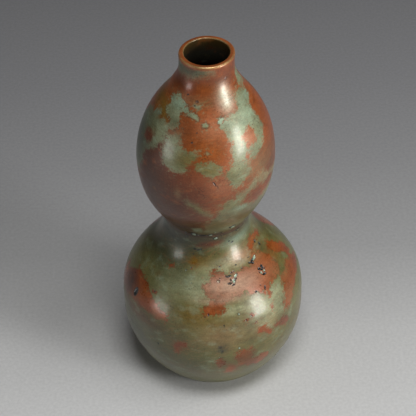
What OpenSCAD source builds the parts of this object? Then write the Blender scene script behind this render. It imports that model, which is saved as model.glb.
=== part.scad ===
// Double gourd vase in patinated cast bronze. Two hollow castings are lapped and
// brazed together at the waist, and a plate is soldered into the foot.
// The origin is the centre of the foot, on the surface that the vase stands on.

/* [Lower bulb] */
// Widest outside diameter of the lower bulb
lower_width = 120; // [106:0.1:143]
// Height of the lower bulb's widest level above the surface that the vase stands on
lower_rise = 54.5; // [45:0.1:65]
// Outside diameter of the ring that the vase stands on
foot_width = 70; // [58:0.1:84]

/* [Waist] */
// Outside diameter at the narrowest level of the waist
waist_width = 55.6; // [46:0.1:66]
// Radius of the wide hollow below that level, on the lower casting
low_hollow = 33; // [20:0.1:45]
// Radius of the tight hollow above that level, on the upper casting
high_hollow = 8.4; // [5:0.1:14]

/* [Upper bulb] */
// Widest outside diameter of the upper bulb
upper_width = 88.2; // [78:0.1:106]
// Radius of the curve below its widest level, down to the waist's tight hollow
belly_round = 72.4; // [58:0.1:90]
// Radius of the curve above its widest level, up to the neck's hollow
shoulder_round = 74.3; // [58:0.1:90]

/* [Neck and mouth] */
// Outside diameter of the neck
neck_width = 34.4; // [32.4:0.1:42]
// Diameter of the bore through the neck, which is the mouth
mouth_bore = 28; // [22:0.1:29.6]
// Length of the neck's straight part, up to the lip
neck_length = 10; // [6:0.1:20]
// Radius of the hollow where the neck rises from the upper bulb
neck_hollow = 22; // [14:0.1:30]
// Radius of the lip's outer edge
lip_round = 1.3; // [0.5:0.05:1.9]
// Radius of the lip's inner edge
mouth_round = 0.8; // [0.3:0.05:1.1]

/* [Walls] */
// Wall thickness of both castings
wall = 3.2; // [2.4:0.1:4.2]
// Thickness of the lower casting's floor, round the opening that the plate closes
floor_thickness = 3; // [2:0.1:4.5]
// Radius of the inside corner between that floor and the side wall
floor_round = 5; // [3:0.1:8]

/* [Waist joint] */
// Depth that the upper casting's spigot reaches into the lower casting
lap_depth = 8; // [5:0.1:10]
// Thickness of the film of braze between spigot and socket
braze_film = 0.3; // [0.1:0.05:0.6]
// Height of the band of braze that shows in the waist
braze_band = 0.6; // [0.2:0.05:1.2]
// Depth of the socket past the end of the spigot
socket_relief = 1; // [0.4:0.1:2]

/* [Foot] */
// Radius of the outside edge that the vase stands on
foot_round = 1.5; // [0.6:0.05:2.5]
// Width of the standing ring, from its outside to the recess under the vase
foot_land = 5.2; // [3.5:0.1:8]
// Depth of the recess, up to the ledge that the plate lies against
recess_depth = 5; // [4:0.1:7]
// Width of the ledge that the plate lies against
ledge_width = 3; // [1.5:0.1:5]
// Thickness of the plate
plate_thickness = 2; // [1.2:0.1:2.6]
// Clearance round the edge of the plate, which the solder fills
plate_clearance = 0.25; // [0.1:0.05:0.6]
// Leg of the solder's fillet under the plate
solder_leg = 1.6; // [0.8:0.1:2.4]

/* [Hidden] */
// Farthest that an outline's straight steps lie inside the curve that they follow
curve_error = 0.02;
// Overrun of the cuts past the faces that they open
overrun = 1;
$fn = 120;

lower_r = lower_width / 2;
foot_r = foot_width / 2;
waist_r = waist_width / 2;
upper_r = upper_width / 2;
neck_r = neck_width / 2;
mouth_r = mouth_bore / 2;

// The lower bulb's round top is a ball centred on the axis at its widest level.
// Its lower side is an arc that leaves that level upright and reaches the foot,
// so the arc's centre lies at the same level, past the axis.
inset_at_foot = lower_r - foot_r;
lower_side_r = (pow(inset_at_foot, 2) + pow(lower_rise, 2)) / (2 * inset_at_foot);
lower_side_x = lower_r - lower_side_r;

// Two hollows meet upright at the waist's narrowest level. The wide one touches the
// ball below it.
low_x = waist_r + low_hollow;
high_x = waist_r + high_hollow;
waist_z = lower_rise + leg(lower_r + low_hollow, low_x);
low_hollow_angle = atan2(waist_z - lower_rise, low_x);

// The upper bulb's belly and shoulder are two arcs that meet upright at its widest
// level, with both centres past the axis. The belly touches the waist's tight hollow.
belly_x = upper_r - belly_round;
shoulder_x = upper_r - shoulder_round;
upper_z = waist_z + leg(belly_round + high_hollow, high_x - belly_x);
belly_angle = atan2(upper_z - waist_z, high_x - belly_x);

// The neck's hollow touches the shoulder and the neck's upright side, outside and in.
neck_x = neck_r + neck_hollow;
neck_z = upper_z + leg(shoulder_round + neck_hollow, neck_x - shoulder_x);
neck_angle = atan2(neck_z - upper_z, neck_x - shoulder_x);
bore_hollow = neck_hollow + wall;
bore_x = mouth_r + bore_hollow;
bore_z = upper_z + leg(shoulder_round - wall + bore_hollow, bore_x - shoulder_x);
bore_angle = atan2(bore_z - upper_z, bore_x - shoulder_x);
lip_z = neck_z + neck_length;

// Lap joint at the waist: spigot and lip share the wall, with braze between them.
inner_waist_r = waist_r - wall;
spigot_r = inner_waist_r + (wall - braze_film) / 2;
socket_r = spigot_r + braze_film;
spigot_end_z = waist_z - lap_depth;
socket_end_z = spigot_end_z - socket_relief;
half_band = braze_band / 2;
band_low_z = waist_z - half_band;
band_high_z = waist_z + half_band;
band_low_r = low_x - leg(low_hollow, half_band);
band_high_r = high_x - leg(high_hollow, half_band);

// The recess under the foot, and the floor round the opening that the plate closes.
recess_r = foot_r - foot_land;
ledge_r = recess_r - ledge_width;
floor_z = recess_depth + floor_thickness;
plate_r = recess_r - plate_clearance;
plate_z = recess_depth - plate_thickness;

// Third side of a right-angled triangle, from its longest side and another.
function leg(longest, other) = sqrt(pow(longest, 2) - pow(other, 2));

// Points along an arc, without its last one, close enough together for curve_error.
function arc(x, z, r, from, to) =
    let (step = 2 * acos(1 - curve_error / r), count = max(2, ceil(abs(to - from) / step)))
    [for (i = [0 : count - 1])
        let (a = from + (to - from) * i / count) [x + r * cos(a), z + r * sin(a)]];

// Offset of a small round's centre from the side arc's centre line, where the round
// lies inside the side arc and on a floor that is drop below the arc's centre.
function round_x(side_r, drop, r) = leg(side_r - r, drop - r);
function round_angle(side_r, drop, r) = -asin((drop - r) / (side_r - r));

// A small round inside a side arc, from the floor up to where it touches the arc,
// and the side arc from there to its widest level.
function rounded_side(side_r, floor, r) =
    let (drop = lower_rise - floor, a = round_angle(side_r, drop, r))
    concat(
        arc(lower_side_x + round_x(side_r, drop, r), floor + r, r, -90, a),
        arc(lower_side_x, lower_rise, side_r, a, 0));

// Outside of the lower bulb, from the standing face up to the band of braze.
function lower_outside() = concat(
    rounded_side(lower_side_r, 0, foot_round),
    arc(0, lower_rise, lower_r, 0, low_hollow_angle),
    arc(low_x, waist_z, low_hollow, 180 + low_hollow_angle, 180 + asin(half_band / low_hollow)),
    [[band_low_r, band_low_z]]);

// Inside of the lower bulb, from its floor up to the narrowest level of the waist.
function lower_inside() = concat(
    rounded_side(lower_side_r - wall, floor_z, floor_round),
    arc(0, lower_rise, lower_r - wall, 0, low_hollow_angle),
    arc(low_x, waist_z, low_hollow + wall, 180 + low_hollow_angle, 180),
    [[inner_waist_r, waist_z]]);

// Side of the upper bulb from the waist's hollow to the neck's, with its wall set
// in by depth.
function upper_side(depth, from, to) = concat(
    arc(high_x, waist_z, high_hollow + depth, from, 180 - belly_angle),
    arc(belly_x, upper_z, belly_round - depth, -belly_angle, 0),
    arc(shoulder_x, upper_z, shoulder_round - depth, 0, to));

// Outside of the upper casting, from the band of braze to the flat of the lip.
function upper_outside() = concat(
    upper_side(0, 180 - asin(half_band / high_hollow), neck_angle),
    arc(neck_x, neck_z, neck_hollow, 180 + neck_angle, 180),
    [[neck_r, neck_z]],
    arc(neck_r - lip_round, lip_z - lip_round, lip_round, 0, 90),
    [[neck_r - lip_round, lip_z]]);

// Inside of the upper casting, from the waist to the flat of the lip.
function upper_inside() = concat(
    upper_side(wall, 180, bore_angle),
    arc(bore_x, bore_z, bore_hollow, 180 + bore_angle, 180),
    [[mouth_r, bore_z]],
    arc(mouth_r + mouth_round, lip_z - mouth_round, mouth_round, 180, 90),
    [[mouth_r + mouth_round, lip_z]]);

function reversed(points) = [for (i = [len(points) - 1 : -1 : 0]) points[i]];

// Lower casting: bulb, standing ring and floor, with a socket at the waist.
module lower_bulb() {
    color("darkolivegreen")
    difference() {
        rotate_extrude()
            polygon(concat(
                [[ledge_r, 0]],
                lower_outside(),
                [[inner_waist_r, band_low_z]],
                [for (p = reversed(lower_inside())) if (p[1] < band_low_z) p],
                [[ledge_r, floor_z]]));
        translate([0, 0, -overrun])
            cylinder(r = recess_r, h = recess_depth + overrun);
        translate([0, 0, socket_end_z])
            cylinder(r = socket_r, h = band_low_z - socket_end_z + overrun);
    }
}

// Upper casting: bulb, neck and lip, with a spigot that enters the socket.
module upper_bulb() {
    color("sienna")
    rotate_extrude()
        polygon(concat(
            [[inner_waist_r, spigot_end_z], [spigot_r, spigot_end_z], [spigot_r, band_high_z]],
            upper_outside(),
            reversed(upper_inside())));
}

// Braze: a film between spigot and socket, and the band that shows in the waist.
module waist_braze() {
    color("darkgoldenrod")
    rotate_extrude()
        polygon([
            [spigot_r, spigot_end_z],
            [socket_r, spigot_end_z],
            [socket_r, band_low_z],
            [band_low_r, band_low_z],
            [waist_r, waist_z],
            [band_high_r, band_high_z],
            [spigot_r, band_high_z]]);
}

// Plate that closes the opening in the floor, set up into the recess.
module base_plate() {
    color("saddlebrown")
    translate([0, 0, plate_z])
        cylinder(r = plate_r, h = plate_thickness);
}

// Solder: it fills the gap round the plate and makes a hollow fillet under its edge.
module base_solder() {
    color("dimgray")
    rotate_extrude()
        polygon(concat(
            [[plate_r, recess_depth], [plate_r, plate_z]],
            arc(recess_r - solder_leg, plate_z - solder_leg, solder_leg, 90, 0),
            [[recess_r, plate_z - solder_leg], [recess_r, recess_depth]]));
}

lower_bulb();
upper_bulb();
waist_braze();
base_plate();
base_solder();
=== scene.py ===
from math import asin, atan2, ceil, cos, degrees, pi, radians, sin, sqrt

import bmesh
import bpy
import numpy as np
from mathutils import Matrix, Vector, noise


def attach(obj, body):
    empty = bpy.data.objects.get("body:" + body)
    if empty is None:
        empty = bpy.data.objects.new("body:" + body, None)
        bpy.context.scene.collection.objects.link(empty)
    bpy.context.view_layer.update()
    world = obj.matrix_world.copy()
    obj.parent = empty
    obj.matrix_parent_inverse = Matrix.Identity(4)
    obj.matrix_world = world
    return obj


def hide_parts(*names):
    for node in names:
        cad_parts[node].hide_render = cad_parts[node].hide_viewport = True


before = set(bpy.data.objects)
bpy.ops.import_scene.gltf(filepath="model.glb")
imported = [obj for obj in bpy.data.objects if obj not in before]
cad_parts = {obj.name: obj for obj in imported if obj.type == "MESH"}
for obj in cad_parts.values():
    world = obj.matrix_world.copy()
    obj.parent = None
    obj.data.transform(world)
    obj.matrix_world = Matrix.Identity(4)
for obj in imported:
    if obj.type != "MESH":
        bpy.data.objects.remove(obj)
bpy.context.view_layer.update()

mm = 0.001


def hexColour(text):
    # sRGB hex to linear RGBA
    parts = [int(text[i:i + 2], 16) / 255 for i in (1, 3, 5)]
    linear = [p / 12.92 if p <= 0.04045 else ((p + 0.055) / 1.055) ** 2.4 for p in parts]
    return (*linear, 1.0)


def addNode(tree, kind, inputs=None, out=0, **settings):
    # One node with its settings. An input takes a value or another node's socket, and what
    # comes back is the node's own output socket.
    node = tree.nodes.new(kind)
    for name, value in settings.items():
        setattr(node, name, value)
    for name, value in (inputs or {}).items():
        if isinstance(value, bpy.types.NodeSocket):
            tree.links.new(value, node.inputs[name])
        else:
            node.inputs[name].default_value = value
    return node.outputs[out] if node.outputs else None


def placed(name, data):
    thing = bpy.data.objects.new(name, data)
    bpy.context.collection.objects.link(thing)
    return thing


def leg(longest, other):
    return sqrt(longest * longest - other * other)


def smooth(x, low, high):
    t = np.clip((x - low) / (high - low), 0, 1)
    return t * t * (3 - 2 * t)


# Camera, solved from the outline and the ellipses of the mouth and waist
view = {
    "lens": 153.2, "sensor": 36,      # mm
    "distance": 873.5,                # mm in front of the axis
    "height": 873.0,                  # mm above the floor
    "pitch": 40.544,                  # degrees down
    "roll": -1.784,                   # degrees
    "shift": -0.00543,
    "clipEnd": 20,                    # metres
}

cameraData = bpy.data.cameras.new("camera")
cameraData.lens = view["lens"]
cameraData.sensor_width = view["sensor"]
cameraData.shift_x = view["shift"]
cameraData.clip_end = view["clipEnd"]
camera = placed("camera", cameraData)
camera.matrix_world = (
    Matrix.Translation((0, -view["distance"] * mm, view["height"] * mm))
    @ Matrix.Rotation(radians(90 - view["pitch"]), 4, "X")
    @ Matrix.Rotation(radians(view["roll"]), 4, "Z"))
bpy.context.scene.camera = camera
bpy.context.scene.view_settings.view_transform = "Standard"
print("camera placed")

# Outline of the vase in mm: the same tangent arcs as the solids.
vase = {
    "lowerWidth": 120, "lowerRise": 54.5, "footWidth": 70,
    "waistWidth": 55.6, "lowHollow": 33, "highHollow": 8.4,
    "upperWidth": 88.2, "bellyRound": 72.4, "shoulderRound": 74.3,
    "neckWidth": 34.4, "mouthBore": 28, "neckLength": 10, "neckHollow": 22,
    "lipRound": 1.3, "mouthRound": 0.8,
    "wall": 3.2, "floorThickness": 3, "floorRound": 5,
    "lapDepth": 8, "brazeFilm": 0.3, "brazeBand": 0.6, "socketRelief": 1,
    "footRound": 1.5, "footLand": 5.2, "recessDepth": 5, "ledgeWidth": 3,
    "plateThickness": 2, "plateClearance": 0.25, "solderLeg": 1.6,
}
inset = {"side": 0.03, "lip": 0.001}      # how far it stays inside the solids' box, mm
steps = {
    "outline": 0.15, "rows": 0.88,        # mm along the outside, worked out and on the mesh
    "inside": 3.4, "mouth": 1.4, "lip": 0.4, "innerLip": 0.3, "fillet": 0.3,
    "footEvery": 3,                       # of the points round the foot's outer edge
    "around": 336, "plateAround": 160,
}
# How many mm the joins between the arcs are eased over, and the shares of the way to the
# lower and the upper end that it stays within
easing = {"least": 0.02, "lower": (2.6, 0.2, 0.2), "upper": (5.0, 0.16, 0.42)}
# Where the real bulbs are a little fuller or flatter than the arcs, from the outline in the
# photograph and the places of the highlights: height of the middle, spread and size, in mm.
fuller = [(36, 9.0, 0.45), (73, 8.5, 1.05), (98, 8.0, -0.45), (150, 9.0, 0.45), (229.4, 3.6, 0.70)]

wall, halfBand = vase["wall"], vase["brazeBand"] / 2
lowerR, footR, waistR = vase["lowerWidth"] / 2, vase["footWidth"] / 2, vase["waistWidth"] / 2
upperR, neckR, mouthR = vase["upperWidth"] / 2, vase["neckWidth"] / 2, vase["mouthBore"] / 2
lowHollow, highHollow, neckHollow = vase["lowHollow"], vase["highHollow"], vase["neckHollow"]
bellyRound, shoulderRound, lowerRise = vase["bellyRound"], vase["shoulderRound"], vase["lowerRise"]
lipRound, mouthRound, footRound = vase["lipRound"], vase["mouthRound"], vase["footRound"]
recessDepth, solderLeg = vase["recessDepth"], vase["solderLeg"]
footInset = lowerR - footR
lowerSide = (footInset ** 2 + lowerRise ** 2) / (2 * footInset)
lowerSideX = lowerR - lowerSide
lowX, highX = waistR + lowHollow, waistR + highHollow
waistZ = lowerRise + leg(lowerR + lowHollow, lowX)
lowAngle = degrees(atan2(waistZ - lowerRise, lowX))
bellyX, shoulderX = upperR - bellyRound, upperR - shoulderRound
upperZ = waistZ + leg(bellyRound + highHollow, highX - bellyX)
bellyAngle = degrees(atan2(upperZ - waistZ, highX - bellyX))
neckX = neckR + neckHollow
neckZ = upperZ + leg(shoulderRound + neckHollow, neckX - shoulderX)
neckAngle = degrees(atan2(neckZ - upperZ, neckX - shoulderX))
boreHollow = neckHollow + wall
boreX = mouthR + boreHollow
boreZ = upperZ + leg(shoulderRound - wall + boreHollow, boreX - shoulderX)
boreAngle = degrees(atan2(boreZ - upperZ, boreX - shoulderX))
lipZ = neckZ + vase["neckLength"] - inset["lip"]
lipBase = lipZ - lipRound
bandLow, bandHigh = waistZ - halfBand, waistZ + halfBand
bandLowR, bandHighR = lowX - leg(lowHollow, halfBand), highX - leg(highHollow, halfBand)
passageR = waistR - wall
spigotR = passageR + (wall - vase["brazeFilm"]) / 2
socketR = spigotR + vase["brazeFilm"]
spigotEndZ = waistZ - vase["lapDepth"]
socketEndZ = spigotEndZ - vase["socketRelief"]
socketFoot = lowX - leg(lowHollow + wall, waistZ - socketEndZ)
recessR = footR - vase["footLand"]
ledgeR = recessR - vase["ledgeWidth"]
innerFloorZ = recessDepth + vase["floorThickness"]
plateR = recessR - vase["plateClearance"]
plateZ = recessDepth - vase["plateThickness"]


def arc(x, z, r, start, end, step=steps["outline"]):
    # points along an arc, without its last one
    count = max(2, ceil(abs(radians(end - start)) * r / step))
    angles = [radians(start + (end - start) * i / count) for i in range(count)]
    return [(x + r * cos(a), z + r * sin(a)) for a in angles]


def straight(a, b, step=steps["outline"]):
    across, up = b[0] - a[0], b[1] - a[1]
    count = max(1, ceil(sqrt(across ** 2 + up ** 2) / step))
    return [(a[0] + across * i / count, a[1] + up * i / count) for i in range(count)]


def roundedSide(sideR, floor, r, step):
    # the small round between a floor and the lower side, then that side to its widest level
    drop = lowerRise - floor
    turnTo = -degrees(asin((drop - r) / (sideR - r)))
    return (arc(lowerSideX + leg(sideR - r, drop - r), floor + r, r, -90, turnTo, min(step, r / 3))
            + arc(lowerSideX, lowerRise, sideR, turnTo, 0, step))


def lengthAlong(points):
    return np.concatenate([[0], np.cumsum(np.hypot(*np.diff(points, axis=0).T))])


def eased(points, most, startShare, endShare):
    # Rounds off the joins between the arcs as filing does: each point becomes the mean of
    # its neighbours within a few mm.
    p = np.array(points)
    along = lengthAlong(p)
    room = np.minimum(along * startShare, (along[-1] - along) * endShare)
    spread = np.clip(room, easing["least"], most)[:, None]
    weight = np.exp(-0.5 * ((along[:, None] - along) / spread) ** 2) * np.gradient(along)
    return weight @ p / weight.sum(axis=1, keepdims=True)


def thinned(points, step):
    # every so many mm along a fine outline, with both ends
    along = lengthAlong(points)
    wanted = np.linspace(0, along[-1], ceil(along[-1] / step) + 1)
    return list(zip(*(np.interp(wanted, along, side).tolist() for side in points.T)))


lowerFoot = roundedSide(lowerSide, 0, footRound, steps["outline"])
footCount = sum(1 for r, z in lowerFoot if z < footRound)
lowerFine = eased(
    lowerFoot[footCount:]
    + arc(0, lowerRise, lowerR, 0, lowAngle)
    + arc(lowX, waistZ, lowHollow, 180 + lowAngle, 180 + degrees(asin(halfBand / lowHollow)))
    + [(bandLowR, bandLow)], *easing["lower"])
upperFine = eased(
    arc(highX, waistZ, highHollow, 180 - degrees(asin(halfBand / highHollow)), 180 - bellyAngle)
    + arc(bellyX, upperZ, bellyRound, -bellyAngle, 0)
    + arc(shoulderX, upperZ, shoulderRound, 0, neckAngle)
    + arc(neckX, neckZ, neckHollow, 180 + neckAngle, 180)
    + straight((neckR, neckZ), (neckR, lipBase)) + [(neckR, lipBase)], *easing["upper"])
for fine in (lowerFine, upperFine):
    for middle, spread, size in fuller:
        fine[:, 0] += size * np.exp(-0.5 * ((fine[:, 1] - middle) / spread) ** 2)
lowerFine[:, 0] = np.minimum(lowerFine[:, 0], lowerR - inset["side"])
lowerOutside = lowerFoot[:footCount:steps["footEvery"]] + thinned(lowerFine, steps["rows"])
upperOutside = thinned(upperFine, steps["rows"])
lip = (
    arc(neckR - lipRound, lipBase, lipRound, 0, 90, steps["lip"])[1:]
    + straight((neckR - lipRound, lipZ), (mouthR + mouthRound, lipZ), steps["lip"])
    + arc(mouthR + mouthRound, lipZ - mouthRound, mouthRound, 90, 180, steps["innerLip"]))
mouth = straight((mouthR, lipZ - mouthRound), (mouthR, boreZ), steps["mouth"])
lowerInside = [p for p in (
    roundedSide(lowerSide - wall, innerFloorZ, vase["floorRound"], steps["inside"])
    + arc(0, lowerRise, lowerR - wall, 0, lowAngle, steps["inside"])
    + arc(lowX, waistZ, lowHollow + wall, 180 + lowAngle, 180, steps["inside"])
) if p[1] < socketEndZ]
upperInside = (
    arc(boreX, boreZ, boreHollow, 180, 180 + boreAngle, steps["mouth"])
    + arc(shoulderX, upperZ, shoulderRound - wall, boreAngle, 0, steps["inside"])
    + arc(bellyX, upperZ, bellyRound - wall, 0, -bellyAngle, steps["inside"])
    + arc(highX, waistZ, highHollow + wall, 180 - bellyAngle, 180, steps["mouth"])
    + [(passageR, waistZ)])


def turnedTree():
    # Turns an outline about Z: one column of a grid for each step around,
    # each row placed from one point of the outline.
    tree = bpy.data.node_groups.new("turnedPiece", "GeometryNodeTree")
    for name, kind in (("Outline", "Geometry"), ("Steps Around", "Int"), ("Seam Gap", "Float"),
                       ("Finish", "Material")):
        tree.interface.new_socket(name, in_out="INPUT", socket_type="NodeSocket" + kind)
    tree.interface.new_socket("Geometry", in_out="OUTPUT", socket_type="NodeSocketGeometry")
    given = addNode(tree, "NodeGroupInput").node.outputs
    outline, around = given["Outline"], given["Steps Around"]
    count = addNode(tree, "GeometryNodeAttributeDomainSize", {0: outline}, component="MESH")
    columns = addNode(tree, "ShaderNodeMath", {0: around, 1: 1.0}, operation="ADD")
    grid = addNode(tree, "GeometryNodeMeshGrid", {"Vertices X": count, "Vertices Y": columns})
    index = addNode(tree, "GeometryNodeInputIndex")
    ratio = addNode(tree, "ShaderNodeMath", {0: index, 1: columns}, operation="DIVIDE")
    row = addNode(tree, "ShaderNodeMath", {0: ratio}, operation="FLOOR")
    column = addNode(tree, "ShaderNodeMath", {0: index, 1: columns}, operation="MODULO")
    share = addNode(tree, "ShaderNodeMath", {0: column, 1: around}, operation="DIVIDE")
    angle = addNode(tree, "ShaderNodeMath", {0: share, 1: 2 * pi}, operation="MULTIPLY")
    position = addNode(tree, "GeometryNodeInputPosition")
    place = addNode(tree, "GeometryNodeSampleIndex", {
        "Geometry": outline, "Index": row, "Value": position}, data_type="FLOAT_VECTOR")
    turned = addNode(tree, "ShaderNodeVectorRotate", {
        "Vector": place, "Angle": angle}, rotation_type="Z_AXIS")
    moved = addNode(tree, "GeometryNodeSetPosition", {"Geometry": grid, "Position": turned})
    closed = addNode(tree, "GeometryNodeMergeByDistance", {
        "Geometry": moved, "Distance": given["Seam Gap"]})
    real = addNode(tree, "GeometryNodeRealizeInstances", {"Geometry": closed})
    done = addNode(tree, "GeometryNodeSetMaterial", {"Geometry": real, "Material": given["Finish"]})
    addNode(tree, "NodeGroupOutput", {0: done})
    return tree


turning = turnedTree()


def turnedMesh(name, outline, stepsAround, finish):
    # outline in mm, closed on itself; the seam lies at the back
    flat = bpy.data.meshes.new(name + "Outline")
    points = outline + outline[:1]
    flat.from_pydata([(0, r * mm, z * mm) for r, z in points],
                     [(i, i + 1) for i in range(len(points) - 1)], [])
    holder = placed(name + "Outline", flat)
    modifier = holder.modifiers.new("turning", "NODES")
    modifier.node_group = turning
    chosen = {"Steps Around": stepsAround, "Seam Gap": 0.01 * mm, "Finish": finish}
    for item in turning.interface.items_tree:
        if item.name in chosen:
            modifier[item.identifier] = chosen[item.name]
    evaluated = holder.evaluated_get(bpy.context.evaluated_depsgraph_get())
    mesh = bpy.data.meshes.new_from_object(evaluated)
    mesh.name = name
    bpy.data.objects.remove(holder)
    # faces outwards, now that the seam is merged
    work = bmesh.new()
    work.from_mesh(mesh)
    bmesh.ops.recalc_face_normals(work, faces=work.faces)
    work.to_mesh(mesh)
    work.free()
    return mesh


def refined(mesh, spots, cuts=3):
    # closer vertices round small marks; a spot is a place in metres and a radius
    work = bmesh.new()
    work.from_mesh(mesh)
    work.faces.ensure_lookup_table()
    centres = np.array([face.calc_center_median() for face in work.faces])
    near = np.zeros(len(centres), bool)
    for place, radius in spots:
        near |= ((centres - np.array(place)) ** 2).sum(axis=1) < radius ** 2
    edges = dict.fromkeys(edge for i in np.flatnonzero(near) for edge in work.faces[int(i)].edges)
    bmesh.ops.subdivide_edges(work, edges=list(edges), cuts=cuts, use_grid_fill=True)
    bmesh.ops.triangulate(work, faces=[face for face in work.faces if len(face.verts) > 4])
    work.to_mesh(mesh)
    work.free()


def meshPoints(mesh):
    co = np.empty(len(mesh.vertices) * 3, np.float32)
    mesh.vertices.foreach_get("co", co)
    return co.reshape(-1, 3).astype(float) / mm


def movePoints(mesh, points):
    mesh.vertices.foreach_set("co", (points * mm).astype(np.float32).ravel())
    mesh.update()


def finishedObject(name, mesh, bodyName, node, sharp=38):
    # an edge of more than so many degrees stays sharp
    mesh.shade_smooth()
    mesh.set_sharp_from_angle(angle=radians(sharp))
    piece = placed(name, mesh)
    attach(piece, bodyName)
    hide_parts(node)


# Sideways drift of the real axis from level to level, in mm, from the outline in the photograph
drift = {"levels": (70, 128, 175, 250), "shifts": (-2.5, -1.8, 0.8)}


def leaned(mesh):
    points = meshPoints(mesh)
    z = points[:, 2]
    a, b, c, top = drift["levels"]
    low, high, rim = drift["shifts"]
    points[:, 0] += (low * smooth(z, a, b) + (high - low) * smooth(z, b, c)
                     + (rim - high) * np.clip((z - c) / (top - c), 0, 1))
    movePoints(mesh, points)


wholeSide = np.concatenate([lowerFine, upperFine])
sideLength = lengthAlong(wholeSide)


def radiusAt(z):
    return np.interp(z, wholeSide[:, 1], wholeSide[:, 0])


def alongAt(z):
    # mm along the outside from the foot, which keeps rising up the neck
    return np.interp(z, wholeSide[:, 1], sideLength)


def placeAt(turn, z):
    # a point of the outside, in metres
    r = float(radiusAt(z))
    return Vector((r * sin(radians(turn)) * mm, -r * cos(radians(turn)) * mm, z * mm))


def turnsAndRadii(points):
    x, y = points[:, 0], points[:, 1]
    return np.degrees(np.arctan2(x, -y)), np.hypot(x, y)


def turnFrom(turns, middle):
    # degrees from the middle, the short way round
    return (turns - middle + 180) % 360 - 180


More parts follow.
